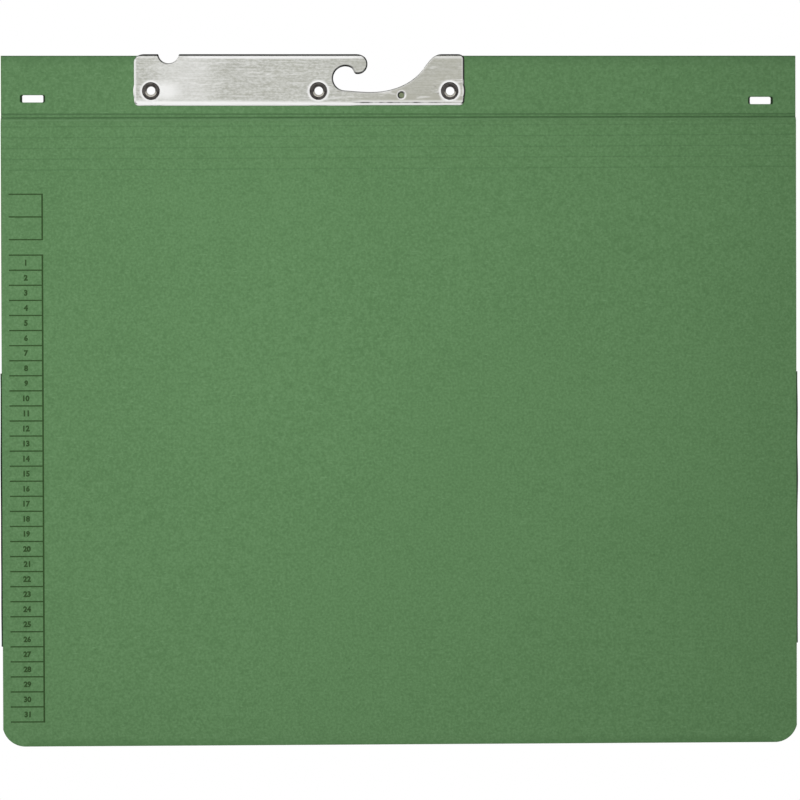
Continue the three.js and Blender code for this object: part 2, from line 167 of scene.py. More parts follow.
def white_ground():
    world = bpy.data.worlds.new("white ground")
    world.use_nodes = True
    tree = world.node_tree
    tree.nodes.clear()
    strength = ranged(tree, seen_directly(tree), 0, 1, sky_light, 1)
    sky = shader(tree, "Background", {"Color": (1, 1, 1, 1), "Strength": strength})
    shader(tree, "OutputWorld", {"Surface": sky})
    return world


def pale_floor():
    """Pale and matt under the folder, and running out into the white ground further off."""
    material, tree = material_tree("pale floor")
    away = shader(tree, "VectorMath", {0: object_place(tree)}, operation="LENGTH").outputs["Value"]
    fade = {"Value": away, "From Min": floor_shown_as_lit, "From Max": floor_shown_white}
    far = shader(tree, "MapRange", fade, interpolation_type="SMOOTHSTEP").outputs[0]
    lit = shader(tree, "BsdfDiffuse", {"Color": floor_colour})
    white = shader(tree, "Emission", {"Color": (1, 1, 1, 1), "Strength": 1})
    pale = calculate(tree, "MAXIMUM", far, floor_paleness)
    share = times(tree, pale, seen_directly(tree))
    both = shader(tree, "MixShader", {"Fac": share, 1: lit, 2: white})
    shader(tree, "OutputMaterial", {"Surface": both})
    return material


def black_card():
    material, tree = material_tree("black card")
    black = shader(tree, "Emission", {"Color": flag_black, "Strength": 1})
    shader(tree, "OutputMaterial", {"Surface": black})
    return material


scene.world = white_ground()
floor_span = (-floor_reach, floor_reach)
floor = level_card("floor", floor_span, floor_span, floor_level, pale_floor())

flag_span = (-flag_width, flag_width)
flag = level_card("flag", flag_span, (flag_back, flag_front), flag_height, black_card())
for ray in ("camera", "diffuse", "transmission", "volume_scatter", "shadow"):
    setattr(flag, "visible_" + ray, False)

for name, place, width, watts, shown in lamps:
    lamp = bpy.data.lights.new(name, "AREA")
    lamp.size = width
    lamp.energy = watts
    holder = linked(name, lamp)
    holder.location = place
    holder.visible_glossy = shown
    holder.visible_camera = False
    holder.rotation_euler = (folder_middle - Vector(place)).to_track_quat("-Z", "Y").to_euler()

# Board sheet
# One sheet of green manila board, folded along the top edge. Two creases run across each side
# under the doubled strip, and the covers come out over a shoulder below them, with five score
# lines each. It is made in two leaves that meet in the fold.

strip_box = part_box("folded_strip")
cover_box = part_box("front_cover")
fold_level = strip_box[1].z
strip_face = strip_box[1].y
cover_face = -cover_box[0].y
crease_level = (strip_box[0].z + cover_box[1].z) / 2
foot_level = cover_box[0].z
board = 0.45 * mm
crease_spacing = 1.2 * mm
crease_width = 1.15 * mm
crease_depth = 0.2 * mm
crease_lean = 0.6 * mm  # the lower crease drops by this much from the right side to the left one
shoulder_height = 2.4 * mm
shoulder_steepness = 1.8  # steepest right under the crease
shoulder_highlight = 1.0 * mm  # the shoulder is painted pale this far below the crease, a painted highlight
score_below_crease = 3.4 * mm
score_pitch = 4.3 * mm
score_count = 5
score_width = 0.8 * mm
score_depth = 0.09 * mm
score_lean = 1.25 * mm  # the score lines drop by this much
lean_ends = 30 * mm  # under the last score line the board runs true again after this length
fold_shade = 0.7 * mm  # painted shade darkens the fold down to here
fold_shade_edge = 0.3 * mm
fold_raised = 0.1 * mm  # the board springs open a little in its fold
board_grid = 5 * mm
cut_edge_width = 0.5 * mm
warp_height = 0.22 * mm
warp_length = 75 * mm
warp_behind = 0.3  # the back cover waves this much as strongly
index_side_kept_flat = 24 * mm
lean_steps = 12  # rounds that settle how far the relief is moved down
crease_reach = 0.2 * mm  # cut edges this close to the crease belong to the CAD's slit there
press_step = 0.15 * mm  # between the rows of corners over the creases and the shoulder
press_above = 2 * mm
press_below = 0.6 * mm
score_step = 0.13 * mm
warp_below_shoulder = 40 * mm  # the waves reach their full height this far down
warp_beside_print = 30 * mm
outline_probe = 0.02 * mm
points_at_once = 2000
pilot_mark = (22.5 * mm, 0, -6.8 * mm)  # metal dust from the rail's small hole dulls the board here
pilot_dust = (0.24, 0.245, 0.165, 1)
pilot_dust_edge = (1.9 * mm, 1.2 * mm)  # it begins at one distance from there, and is full at the other
board_green = (0.1170, 0.2400, 0.1010, 1)
board_green_dark = (0.0760, 0.1720, 0.0650, 1)
board_green_pale = (0.1660, 0.3130, 0.1470, 1)
# dark specks in the board, and the painted shade in its creases and fold
board_green_speck_and_shade = (0.0560, 0.1280, 0.0500, 1)
# painted shade: the strip's inner faces, seen only at the ends of its slots, are near black for the
# shade in the gap between its plies
strip_inside_shade_green = (0.0200, 0.0330, 0.0185, 1)


def welded(mesh, reach):
    """A copy of a mesh to work on, whose corners are joined where they are this close."""
    copy = bmesh.new()
    copy.from_mesh(mesh)
    bmesh.ops.remove_doubles(copy, verts=copy.verts, dist=reach)
    return copy


def cut_edges(node, bend_level):
    """The edges round a CAD sheet's outer faces, as pairs of points."""
    sheet = welded(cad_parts[node].data, 1e-6)
    outer = set()
    for face in sheet.faces:
        face.normal_update()
        centre = face.calc_center_median()
        away = Vector((0, centre.y, max(centre.z - bend_level, 0))).normalized()
        if abs(face.normal.x) < 1e-3 and face.normal.dot(away) > 0.2:
            outer.add(face)
    edges = [e for e in sheet.edges if sum(face in outer for face in e.link_faces) == 1]
    pairs = [[tuple(vert.co) for vert in edge.verts] for edge in edges]
    sheet.free()
    return np.array(pairs)


class FoldedSection:
    """Half the section of a folded sheet. Its way runs down the outer face from the fold."""

    def __init__(self, face, sheet, top, levels, depth_at=None, inside_at=None):
        self.bend_level = top - face
        turn = np.linspace(math.pi / 2, 0, 9)
        levels = np.asarray(levels)
        depth = np.full(len(levels), face) if depth_at is None else depth_at(levels)
        inside = depth if inside_at is None else inside_at(levels)
        bend = np.column_stack([np.cos(turn), np.sin(turn)])
        centre = (0, self.bend_level)
        self.outer = np.vstack([bend * face + centre, np.column_stack([depth, levels])])
        inner = np.column_stack([inside - sheet, levels])
        self.inner = np.vstack([bend * (face - sheet) + centre, inner])
        steps = np.hypot(*np.diff(self.outer, axis=0).T)
        self.way = np.concatenate([[0], np.cumsum(steps)])

    def way_at(self, level):
        return np.interp(-np.asarray(level), -self.outer[:, 1], self.way)

    def flatten(self, points):
        """Points on the outer faces as places on the flat blank: the front is negative."""
        return np.stack([points[..., 0], np.sign(points[..., 1]) * self.way_at(points[..., 2])], -1)

    def fold(self, flat, line, drop=0):
        """Folds the flat blank, with its relief moved down by the drop."""
        way = np.abs(flat[:, 1])
        depth = np.sign(flat[:, 1]) * np.interp(way - drop, self.way, line[:, 0])
        return np.column_stack([flat[:, 0], depth, np.interp(way, self.way, line[:, 1])])


def groups(points):
    """The points' numbers in groups, so that their distances to all the edges fit the memory."""
    return np.array_split(np.arange(len(points)), max(1, len(points) // points_at_once))


def is_inside(points, edges):
    """Whether each point of the flat blank lies inside its outline."""
    (x0, t0), (x1, t1) = edges[:, 0].T, edges[:, 1].T
    inside = np.zeros(len(points), bool)
    for some in groups(points):
        x, t = points[some, 0, None], points[some, 1, None]
        spans = (t0 > t) != (t1 > t)
        with np.errstate(divide="ignore", invalid="ignore"):
            crossing = x0 + (t - t0) * (x1 - x0) / (t1 - t0)
        inside[some] = (spans & (x < crossing)).sum(1) % 2 == 1
    return inside


def nearest_edge(points, edges):
    """How far each point of the flat blank is from its outline, and the edge that is nearest."""
    start, along = edges[:, 0], edges[:, 1] - edges[:, 0]
    length = np.maximum((along**2).sum(1), 1e-18)
    distance, nearest = np.empty(len(points)), np.empty(len(points), int)
    for some in groups(points):
        gap = points[some, None] - start
        share = np.clip((gap * along).sum(2) / length, 0, 1)
        away = ((gap - share[..., None] * along) ** 2).sum(2)
        nearest[some] = away.argmin(1)
        distance[some] = np.sqrt(away.min(1))
    return distance, nearest


def square_to(edges):
    """The direction square to each edge of the outline, on the flat blank."""
    along = edges[:, 1] - edges[:, 0]
    length = np.maximum(np.hypot(*along.T), 1e-9)
    return np.column_stack([-along[:, 1], along[:, 0]]) / length[:, None]


def outward(edges):
    """The direction that each edge of the outline faces."""
    square = square_to(edges)
    turned = is_inside(edges.mean(1) + outline_probe * square, edges)
    return np.where(turned[:, None], -square, square)


def row_crossings(edges, row, left, right):
    """Where a row of the blank meets its outline, from left to right."""
    slope = (row[1] - row[0]) / (right - left)
    above = edges[..., 1] - row[0] - slope * (edges[..., 0] - left)
    met = (above[:, 0] > 0) != (above[:, 1] > 0)
    crossed, gap = edges[met], above[met]
    share = gap[:, 0] / (gap[:, 0] - gap[:, 1])
    return crossed[:, 0, 0] + share * (crossed[:, 1, 0] - crossed[:, 0, 0])


def beside(edges, distances):
    """Places inside the blank at these distances from its outline, in rows along it."""
    square = np.vstack([square_to(edges)] * 2)
    starts = np.vstack([edges[:, 0], edges.mean(1)])
    places = []
    for distance in distances:
        for side in (-1, 1):
            moved = starts + side * distance * square
            kept = is_inside(moved, edges) & (nearest_edge(moved, edges)[0] > 0.98 * distance)
            places.append(moved[kept])
    return np.vstack(places)


def blank(edges, rows, spots, spacing, closer):
    """The flat blank as triangles, with corners along its outline, on the rows and at the spots.

    A row is its way along the blank at the left and the right side. It has more corners where it
    is closer to the outline."""
    numbers, points, links = {}, [], []

    def corner(place):
        key = (round(place[0] * 1e6), round(place[1] * 1e6))
        if key not in numbers:
            numbers[key] = len(points)
            points.append(Vector((place[0] / mm, place[1] / mm)))
        return numbers[key]

    for start, end in edges:
        link = (corner(start), corner(end))
        if link[0] != link[1]:
            links.append(link)
    left, right = edges[..., 0].min(), edges[..., 0].max()
    for row in rows:
        met = row_crossings(edges, row, left, right)
        across = [np.linspace(left, right, round((right - left) / spacing))]
        across += [met + side * gap for side in (-1, 1) for gap in closer]
        across = np.unique(np.concatenate(across).clip(left, right).round(5))
        line = [corner(place) for place in zip(across, np.interp(across, (left, right), row))]
        links += zip(line, line[1:])
    for spot in spots:
        corner(spot)
    flat, _, faces, *_ = delaunay_2d_cdt(points, links, [], 0, 1e-5)
    flat = np.array([tuple(p) for p in flat]) * mm
    faces = np.array(faces)
    a, b, c = flat[faces[:, 0]], flat[faces[:, 1]], flat[faces[:, 2]]
    turns = (b[:, 0] - a[:, 0]) * (c[:, 1] - a[:, 1]) - (b[:, 1] - a[:, 1]) * (c[:, 0] - a[:, 0])
    faces[turns < 0] = faces[turns < 0][:, ::-1]
    return flat, faces[is_inside((a + b + c) / 3, edges)]


def sheet_mesh(name, outer, inner, faces, shares, sharp=40):
    """A closed sheet: its outer faces, its inner ones and a wall along every cut edge."""
    used = np.unique(faces)
    places = np.full(len(outer), -1)
    places[used] = np.arange(len(used))
    faces = places[faces]
    count = len(used)
    sides = {(a, b) for face in faces.tolist() for a, b in zip(face, face[1:] + face[:1])}
    walls = [(b, a, a + count, b + count) for a, b in sides if (b, a) not in sides]
    polygons = faces.tolist() + (faces[:, ::-1] + count).tolist() + walls
    mesh = bpy.data.meshes.new(name)
    mesh.from_pydata(np.vstack([outer[used], inner[used]]).tolist(), [], polygons)
    mesh.shade_smooth()
    wall_slots = [0] * len(faces) + [1] * len(faces) + [2] * len(walls)
    mesh.polygons.foreach_set("material_index", wall_slots)
    mesh.set_sharp_from_angle(angle=math.radians(sharp))
    for attribute, values in shares.items():
        layer = mesh.attributes.new(attribute, "FLOAT", "POINT")
        layer.data.foreach_set("value", np.tile(values[used], 2).astype(np.float32))
    return mesh


def speckle(tree, scale, detail=4, roughness=0.6, turn=0):
    """A noise pattern, turned in the folder's plane. Its scale along each axis is in marks a metre."""
    sockets = {"Vector": object_place(tree), "Scale": scale, "Rotation": (0, turn, 0)}
    turned = shader(tree, "Mapping", sockets)
    sockets = {"Vector": turned, "Scale": 1, "Detail": detail, "Roughness": roughness}
    return shader(tree, "TexNoise", sockets).outputs["Fac"]


def stored(tree, name):
    """A share that the mesh keeps at its points."""
    return shader(tree, "Attribute", attribute_name=name).outputs["Fac"]


def mixed(tree, share, first, second):
    """A blend of two colours."""
    sockets = {0: share, 6: first, 7: second}
    return shader(tree, "Mix", sockets, data_type="RGBA").outputs[2]


def surface(tree, relief, strength, depth, sockets):
    """The surface of a material, whose relief is as strong and as deep as this."""
    bump = shader(tree, "Bump", {"Height": relief, "Strength": strength, "Distance": depth})
    finish = shader(tree, "BsdfPrincipled", {**sockets, "Normal": bump})
    shader(tree, "OutputMaterial", {"Surface": finish})


def pressed_board(name, middle, dark, pale, shade):
    """Recycled board: soft clouds, fine mottling, short pale and dark fibres, a felt-marked face."""
    material, tree = material_tree(name)
    clouds = ranged(tree, speckle(tree, (14, 14, 14), 3), 0.3, 0.7)
    mottling = ranged(tree, speckle(tree, (1010, 1010, 1010), 3, 0.62), 0.22, 0.78)
    flocks = ranged(tree, speckle(tree, (300, 300, 300), 3, 0.55), 0.25, 0.75)
    fibres = [speckle(tree, (330, 1000, 1900), 2, 0.5, turn) for turn in (0.3, 1.9)]
    specks = speckle(tree, (620, 620, 620), 1, 0.4)
    crease_light_and_shade = stored(tree, "crease_light_and_shade")
    spots = {0: object_place(tree), 1: pilot_mark}
    from_pilot = shader(tree, "VectorMath", spots, operation="DISTANCE").outputs["Value"]
    layers = [
        # pattern, where the tone begins and ends, its share at both, tone
        (clouds, 0, 1, 0.2, 0, dark),
        (flocks, 0.5, 0, 0, 0.3, dark),
        (mottling, 0.5, 1, 0, 0.76, pale),
        (mottling, 0.5, 0, 0, 0.76, dark),
        (fibres[0], 0.66, 0.76, 0, 0.75, pale),
        (fibres[1], 0.66, 0.76, 0, 0.6, pale),
        (specks, 0.78, 0.84, 0, 0.6, shade),
        # painted shade in the crease and score lines and along the fold, painted highlight on the
        # shoulder
        (crease_light_and_shade, 0.1, 1, 0, 0.7, shade),
        (crease_light_and_shade, 0, -1, 0, 1, pale),
        (from_pilot, *pilot_dust_edge, 0, 0.75, pilot_dust),
        # painted shade: the board is darker close to its cut edges
        (stored(tree, "cut_edge"), 0.3, 1, 0, 0.7, dark),
    ]
    colour = middle
    for pattern, begin, end, first, last, tone in layers:
        colour = mixed(tree, ranged(tree, pattern, begin, end, first, last), colour, tone)
    felt = speckle(tree, (1100, 1100, 1500), 4, 0.65)
    surface(tree, times(tree, mottling, 0.8, felt), 0.55, 0.04 * mm, {
        "Base Color": colour,
        "Roughness": ranged(tree, mottling, 0, 1, 0.78, 0.9),
        "Specular IOR Level": 0.24,
    })
    return material


def dip(level, centre, width, depth):
    """A pressed line across the board."""
    share = np.clip(np.abs(level - centre) / (width / 2), 0, 1)
    return depth * (0.5 + 0.5 * np.cos(math.pi * share))


def eased(share):
    share = np.clip(share, 0, 1)
    return share * share * (3 - 2 * share)


def cover_depth(level):
    """How far the board's outer face stands from the folder's middle, but for its pressed lines."""
    down = np.clip((crease_level - level) / shoulder_height, 0, 1)
    return cover_face - (cover_face - strip_face) * (1 - down) ** shoulder_steepness


scores = [crease_level - score_below_crease - i * score_pitch for i in range(score_count)]


def pressed_lines(level):
    lines = dip(level, crease_level + crease_spacing, crease_width, crease_depth)
    lines += dip(level, crease_level, crease_width, crease_depth)
    for score in scores:
        lines += dip(level, score, score_width, score_depth)
    return lines


def pressed_depth(level):
    return cover_depth(level) - pressed_lines(level)


def warp(x, level):
    """The slow waves of a board that has been stored: none at the strip or under the print."""
    scaled = (x / warp_length, 0.3, level / warp_length)
    below = eased((crease_level - level - shoulder_height) / warp_below_shoulder)
    beside_print = eased((x - strip_box[0].x - index_side_kept_flat) / warp_beside_print)
    return warp_height * below * beside_print * noise.noise(scaled, noise_basis="BLENDER")


def even_levels(high, low, step):
    return np.linspace(high, low, max(2, round((high - low) / step)) + 1)


shoulder_foot = crease_level - shoulder_height - press_below
press_levels = even_levels(crease_level + press_above, shoulder_foot, press_step)
score_levels = [even_levels(s + score_width / 2, s - score_width / 2, score_step) for s in scores]
plain_levels = [
    even_levels(fold_level - strip_face, press_levels[0], board_grid),
    even_levels(scores[-1] - score_width, foot_level, board_grid),
]
board_levels = np.unique(np.concatenate([press_levels, *score_levels, *plain_levels]).round(7))[::-1]
board_section = FoldedSection(strip_face, board, fold_level, board_levels, pressed_depth, cover_depth)

board_edges = [cut_edges("folded_strip", board_section.bend_level)]
board_edges += [cut_edges(cover, fold_level) for cover in ("front_cover", "back_cover")]
board_edges = np.vstack(board_edges)
at_crease = np.abs(board_edges[..., 2] - crease_level) < crease_reach
board_edges[..., 2] = np.where(at_crease, crease_level, board_edges[..., 2])
board_edges = board_section.flatten(board_edges[~at_crease.all(1)])

lean_levels = [crease_level + crease_spacing, crease_level, scores[0]]
lean_levels += [scores[-1], scores[-1] - lean_ends]
lean_ways = board_section.way_at(lean_levels)


def lean_at(way):
    return np.interp(way, lean_ways, [0, crease_lean, score_lean, score_lean, 0])


half_lean = lean_at(board_section.way) / 2
front_rows = np.column_stack([board_section.way + half_lean, board_section.way - half_lean])
board_rows = np.vstack([-front_rows, front_rows[1:]])
board_closer = cut_edge_width * np.array([0.5, 1, 2])
board_spots = beside(board_edges, board_closer)
board_flat, board_faces = blank(board_edges, board_rows, board_spots, board_grid, board_closer)
board_edge_share = 1 - eased(nearest_edge(board_flat, board_edges)[0] / cut_edge_width)
board_side = 0.5 - (board_flat[:, 0] - strip_box[0].x) / (strip_box[1].x - strip_box[0].x)
board_way = np.abs(board_flat[:, 1])
board_drop = np.zeros(len(board_flat))
for _ in range(lean_steps):
    board_drop = lean_at(board_way - board_drop) * board_side
board_outer = board_section.fold(board_flat, board_section.outer, board_drop)
board_inner = board_section.fold(board_flat, board_section.inner, board_drop)
board_levels_true = np.interp(board_way - board_drop, board_section.way, board_section.outer[:, 1])
# painted light and shade: dark in the crease and score lines and at the top of the fold, pale on the
# shoulder under the crease
board_crease_light_and_shade = pressed_lines(board_levels_true) / crease_depth
board_crease_light_and_shade -= dip(board_levels_true, crease_level - shoulder_highlight, shoulder_highlight, 0.5)
board_crease_light_and_shade += 0.9 * eased((board_outer[:, 2] - fold_level + fold_shade) / fold_shade_edge)
for face in (board_outer, board_inner):
    face[:, 2] += fold_raised * eased((face[:, 2] - board_section.bend_level) / strip_face)
    face[:, 1] += [warp(x, z) * (1 if y < 0 else warp_behind) for x, y, z in face]

board_shares = {"cut_edge": board_edge_share, "crease_light_and_shade": board_crease_light_and_shade}
board_tones = (board_green, board_green_dark, board_green_pale, board_green_speck_and_shade)
green_board = pressed_board("green manila board", *board_tones)
strip_inside_shade_tones = (strip_inside_shade_green, strip_inside_shade_green, board_green_speck_and_shade, strip_inside_shade_green)
strip_inside_shade_board = pressed_board("painted shade inside the strip", *strip_inside_shade_tones)
board_sides = board_flat[board_faces].mean(1)[:, 1]
leaves = [
    ("front_leaf", board_sides < 0, "front", -1, ["front_cover"]),
    ("back_leaf", board_sides > 0, "back", 1, ["back_cover", "folded_strip"]),
]
for name, chosen, body, side, nodes in leaves:
    mesh = sheet_mesh(name, board_outer, board_inner, board_faces[chosen], board_shares)
    leaf = placed(name, mesh, green_board, green_board, green_board, strip_inside_shade_board)
    # the strip's inner faces above the creases take the painted shade
    for face in mesh.polygons:
        if face.material_index == 1 and face.center.z > crease_level + crease_spacing:
            face.material_index = 3
    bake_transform(leaf)
    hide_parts(*nodes)

# Hanger rail
# One piece of aluminium sheet, folded over the top of the strip and closed on it. The hook, the
# stop notch and the holes are punched through both walls, and its edges are rolled off.

rail_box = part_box("hanger_rail")
rail_sheet = 0.5 * mm
rail_face = rail_box[1].y
rail_top = rail_box[1].z
rail_edge = rail_box[0].z
crown_raised = 0.14 * mm  # the fold stands this much above a true bend
foot_lowered = 0.16 * mm
end_drawn = 0.18 * mm  # the right end stands out by this much
crown_shade = 0.85 * mm  # painted shade darkens the top of the fold down to here
crown_shade_edge = 0.25 * mm
rolled_width = 0.55 * mm
rolled_depth = 0.2 * mm
rail_grid = 2.5 * mm
rail_crown_step = 0.2 * mm
rail_foot_step = 0.4 * mm
# In a pair of distances, a mark or a change begins at one and ends at the other.
highlight_band = 1.2 * mm  # painted highlight: the rail's edges and its corner under the fold are painted white
highlight_patch = (-71.5 * mm, -5.0 * mm)  # and so is a patch beside the left rivet: its middle
highlight_patch_size = (17 * mm, 12 * mm)  # and its width and height
highlight_veil = 21 * mm  # a paler veil of painted highlight lies this far from the left end
highlight_veil_edge = (4 * mm, 17 * mm)
crown_highlight = (-66 * mm, -60 * mm)  # the band under the fold grows to its strongest between these
crown_fades = (0 * mm, 8 * mm)  # and fades between these
dish_radius = 5.4 * mm
dish_floor_radius = 3.7 * mm
dish_depth = 0.2 * mm
rivet_rings = (3.0 * mm, 6.2 * mm)  # the sheet has rings of corners between these radii
rivet_ring = (3.9 * mm, 4.7 * mm)  # painted highlight round each rivet
pilot_ring = (1.6 * mm, 2.2 * mm)  # and round the pilot hole
pilot_rim = (1.15 * mm, 1.45 * mm)
rail_unevenness = 0.03 * mm
foot_line_height = 1.05 * mm  # a dark line runs above the foot at the right, this far up
foot_line_width = (0.15 * mm, 0.35 * mm)
foot_line_starts = (2 * mm, 6 * mm)
foot_line_fades = (36 * mm, 43 * mm)
foot_band_height = 1.45 * mm  # and a band of painted highlight above it
foot_band_width = (0.2 * mm, 0.75 * mm)
crown_band_depth = 0.15 * mm  # the band of painted highlight under the fold has its middle this far down
form_reach = 1.5 * mm  # the foot and the right end are drawn out over this length
# the painted shade along the top of the fold fades between these
crown_shade_fades = (10 * mm, 25 * mm)
darker_between = (-10 * mm, 25 * mm)  # the metal is darker and yellower to the right
darker_foot = (3 * mm, 6 * mm)  # and near the foot
aluminium_bright = (0.69, 0.695, 0.66, 1)
aluminium_dull = (0.47, 0.475, 0.42, 1)
# the pale of scratches, and of painted highlights
aluminium_scratch_and_highlight = (0.97, 0.97, 0.955, 1)
# the dark of painted shade on the rail, and of the dark line above its foot
aluminium_painted_dark = (0.025, 0.025, 0.023, 1)
aluminium_darker = (0.455, 0.45, 0.385, 1)
# painted shade: the cut walls are coloured near black
sheared_wall_shade = (0.012, 0.012, 0.012, 1)
sheared_wall_shade_pale = (0.040, 0.040, 0.038, 1)

rivet_nodes = ["rivet_left", "rivet_middle", "rivet_right"]
rivet_places = [sum(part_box(node), Vector()) / 2 for node in rivet_nodes]


def foot_line(tree):
    """A thin dark line, broken in places, above the foot's white band at the right."""
    place = shader(tree, "SeparateXYZ", {0: object_place(tree)}).outputs
    level = rail_edge + foot_line_height
    above = calculate(tree, "ABSOLUTE", calculate(tree, "SUBTRACT", place["Z"], level))
    thin = ranged(tree, above, *foot_line_width, 1, 0)
    begun = ranged(tree, place["X"], *foot_line_starts)
    ended = ranged(tree, place["X"], *foot_line_fades, 1, 0.3)
    broken = ranged(tree, speckle(tree, (200, 0, 0), 2), 0.4, 0.6, 0.3, 0.85)
    return times(tree, times(tree, thin, broken), times(tree, begun, ended))


def brushed_aluminium():
    """Rolled sheet with fine lines along the rail, cloudy smears and a few slanting scratches."""
    material, tree = material_tree("brushed aluminium")
    lines = speckle(tree, (75, 900, 1750), 5, 0.72)
    smears = speckle(tree, (60, 60, 130), 4, 0.6)
    scratches = ranged(tree, speckle(tree, (90, 600, 600), 3, 0.6, 0.75), 0.58, 0.74)
    grain = speckle(tree, (600, 900, 1300), 3, 0.7)
    tone = times(tree, smears, 0.15, lines)
    tone = times(tree, grain, 1.1, tone)
    darker_right, painted_highlight = stored(tree, "darker_right"), stored(tree, "painted_highlight")
    uneven = times(tree, smears, 0.7, 0.65)
    layers = [
        (times(tree, darker_right, ranged(tree, smears, 0.3, 0.7, 1, 0.5)), aluminium_darker),
        (times(tree, scratches, ranged(tree, darker_right, 0, 0.75, 0.55, 0.8)), aluminium_scratch_and_highlight),
        # painted highlight
        (times(tree, painted_highlight, uneven), aluminium_scratch_and_highlight),
        # painted shade
        (stored(tree, "painted_shade"), aluminium_painted_dark),
        (foot_line(tree), aluminium_painted_dark),
    ]
    colour = mixed(tree, ranged(tree, tone, 0.96, 1.29), aluminium_dull, aluminium_bright)
    for share, shade in layers:
        colour = mixed(tree, share, colour, shade)
    surface(tree, times(tree, scratches, -0.4, lines), 0.35, 0.03 * mm, {
        "Base Color": colour,
        "Metallic": 1,
        "Roughness": ranged(tree, smears, 0.3, 0.7, 0.27, 0.42),
    })
    return material


def sheared_edge():
    """The torn, dull wall of a punched edge, coloured near black as painted shade."""
    material, tree = material_tree("sheared aluminium edge")
    grain = speckle(tree, (900, 300, 900), 3, 0.6)
    surface(tree, grain, 0.5, 0.03 * mm, {
        "Base Color": mixed(tree, grain, sheared_wall_shade, sheared_wall_shade_pale),
        "Roughness": ranged(tree, grain, 0, 1, 0.6, 0.8),
    })
    return material


below_crown = rail_top - rail_face - highlight_band
above_foot = rail_edge + 2 * highlight_band
rail_levels = [
    even_levels(rail_top - rail_face, below_crown, rail_crown_step),
    even_levels(below_crown, above_foot, rail_grid)[1:],
    even_levels(above_foot, rail_edge, rail_foot_step)[1:],
]
rail_section = FoldedSection(rail_face, rail_sheet, rail_top, np.concatenate(rail_levels))
rail_edges = rail_section.flatten(cut_edges("hanger_rail", rail_section.bend_level))
rail_closer = rolled_width * np.array([0.25, 0.5, 0.8, 1.2, 1.8, 2.5])
rail_spots = [beside(rail_edges, rail_closer)]
turn = np.linspace(0, 2 * math.pi, 40, endpoint=False)
ring = np.column_stack([np.cos(turn), np.sin(turn)])
for place in rivet_places:
    for side in (-1, 1):
        middle = (place.x, side * rail_section.way_at(place.z))
        rail_spots += [middle + radius * ring for radius in np.linspace(*rivet_rings, 8)]
rail_rows = np.concatenate([-rail_section.way, rail_section.way[1:]])
rail_rows = np.column_stack([rail_rows, rail_rows])
rail_flat, rail_faces = blank(rail_edges, rail_rows, np.vstack(rail_spots), rail_grid, rail_closer)

rail_outer = rail_section.fold(rail_flat, rail_section.outer)
rail_inner = rail_section.fold(rail_flat, rail_section.inner)
rail_x, _, rail_level = rail_outer.T.copy()
rail_gap, rail_nearest = nearest_edge(rail_flat, rail_edges)
rail_share = 1 - np.clip(rail_gap / rolled_width, 0, 1)
sunk = rolled_depth * (1 - np.sqrt(1 - np.minimum(rail_share, 0.999) ** 2))
for place in rivet_places:
    from_rivet = np.hypot(rail_x - place.x, rail_level - place.z)
    sunk += dish_depth * eased((dish_radius - from_rivet) / (dish_radius - dish_floor_radius))
sunk += [rail_unevenness * (1 + noise.noise((x * 60, y * 30, z * 90))) for x, y, z in rail_outer]
inward = rail_inner - rail_outer
inward /= np.linalg.norm(inward, axis=1)[:, None]


def near(distance, close, far):
    """1 up to the close distance and 0 from the far one on."""
    return 1 - eased((distance - close) / (far - close))


def rubbed_white(x, level, gap):
    """Painted highlight: how far the metal is painted white along its edges, round its holes, and in a
    patch and a veil near the left end.
    """
    left, right = rail_box[0].x, rail_box[1].x
    across = (x - highlight_patch[0]) / highlight_patch_size[0]
    up = (level - highlight_patch[1]) / highlight_patch_size[1]
    foot_band = highlight_band * (1.15 - 0.7 * (x - left) / (right - left))
    over_foot = np.abs(level - rail_edge - foot_band_height)
    under_fold = np.abs(rail_top - rail_face - level - crown_band_depth)
    crown_share = 0.9 - 0.55 * near(x, *crown_highlight) - 0.5 * (1 - near(x, *crown_fades))
    shares = [
        1.4 * near(level - rail_edge, 0.3 * foot_band, 2.2 * foot_band),
        0.7 * (1 - near(x, *foot_line_starts)) * near(over_foot, *foot_band_width),
        near(x - left, 0.6 * highlight_band, 1.2 * highlight_band),
        0.8 * near(right - x, 0.6 * highlight_band, 1.1 * highlight_band),
        1.4 * crown_share * near(under_fold, 0.1 * highlight_band, 0.75 * highlight_band),
        0.9 * near(np.hypot(across, up), 0.1, 0.6),
        0.36 * near(np.abs(x - left - highlight_veil), *highlight_veil_edge),
        0.4 * near(gap, 0.3 * rolled_width, 1.6 * rolled_width),
        near(np.hypot(x - pilot_mark[0], level - pilot_mark[2]), *pilot_ring),
    ]
    for place in rivet_places:
        shares.append(1.3 * near(np.hypot(x - place.x, level - place.z), *rivet_ring))
    return np.max(shares, axis=0)


def soiled_rim(x, level, right, down, gap):
    """Painted shade: a dark rim where the cut faces right or down, away from the light, but for the
    rail's foot; a dark band along the top of the fold; and a faint dark rim round the pilot hole.
    """
    share = np.clip(0.1 + np.maximum(1.2 * right, 0.9 * down), 0, 1)
    share *= (level > rail_edge + 0.5 * highlight_band) * near(gap, 0.7 * rolled_width, 1.25 * rolled_width)
    on_crown = eased((level - rail_top + crown_shade) / crown_shade_edge)
    on_crown *= 0.1 + 0.5 * near(x, *crown_shade_fades)
    from_pilot = np.hypot(x - pilot_mark[0], level - pilot_mark[2])
    return np.max([share, on_crown, 0.3 * near(from_pilot, *pilot_rim)], axis=0)


